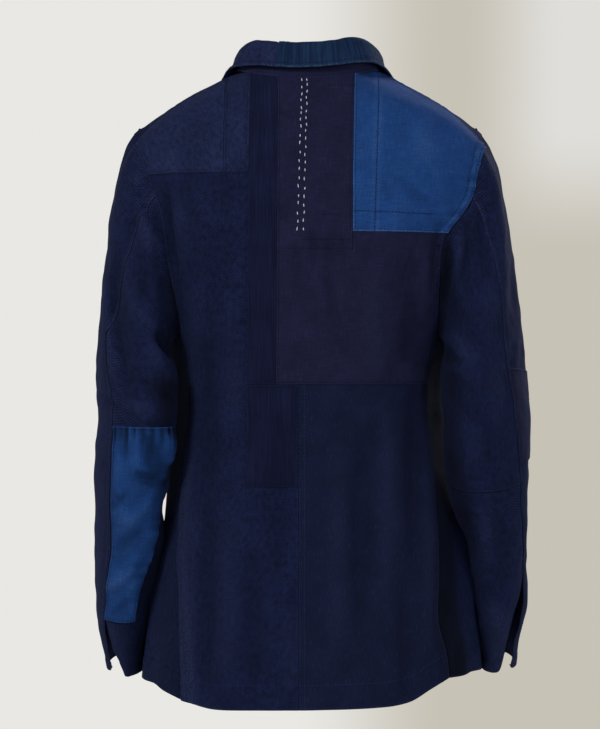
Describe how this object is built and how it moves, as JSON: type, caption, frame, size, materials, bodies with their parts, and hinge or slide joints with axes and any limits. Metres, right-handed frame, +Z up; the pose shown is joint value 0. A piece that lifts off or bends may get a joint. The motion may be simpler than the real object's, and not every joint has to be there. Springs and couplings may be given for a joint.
{
  "type": "patched boro work jacket",
  "caption": "Hollow worn work jacket of patched indigo cotton with a shirt collar, set-in two-piece sleeves bent at the elbow, open cuffs and a buttoned front.",
  "frame": {"origin": "middle of the neck opening, level with the tops of the shoulders, where the wearer's shoulders carry the jacket", "axes": "+Z up, -Y the buttoned front, +Y the patched back, +X the wearer's left"},
  "size_m": [0.5089, 0.2748, 0.7656],
  "materials": {
    "indigo_weave": "matte dobby-woven cotton",
    "plum_cotton": "matte plain-woven cotton",
    "blue_cotton": "matte faded chambray",
    "teal_cotton": "matte streaked cotton",
    "dark_button": "satin dark horn look"
  },
  "bodies": {
    "root": {"back_left": "indigo_weave", "back_right_upper": "indigo_weave", "back_right_lower": "indigo_weave", "front_left": "indigo_weave", "front_right": "indigo_weave", "sleeve_left_upper": "indigo_weave", "sleeve_left_under": "indigo_weave", "sleeve_right_upper": "indigo_weave", "sleeve_right_under_upper": "indigo_weave", "sleeve_right_under_lower": "indigo_weave", "collar_stand": "plum_cotton", "collar_fall_left": "indigo_weave", "collar_fall_right": "teal_cotton", "patch_weave_outer": "indigo_weave", "patch_weave_inner": "indigo_weave", "patch_centre_strip": "indigo_weave", "patch_centre_low": "indigo_weave", "patch_plum_upper": "plum_cotton", "patch_plum_large": "plum_cotton", "patch_blue_shoulder": "blue_cotton", "patch_elbow_blue": "blue_cotton", "patch_elbow_plum": "plum_cotton", "button_1": "dark_button", "button_2": "dark_button", "button_3": "dark_button", "button_4": "dark_button", "button_5": "dark_button"}
  },
  "joints": []
}
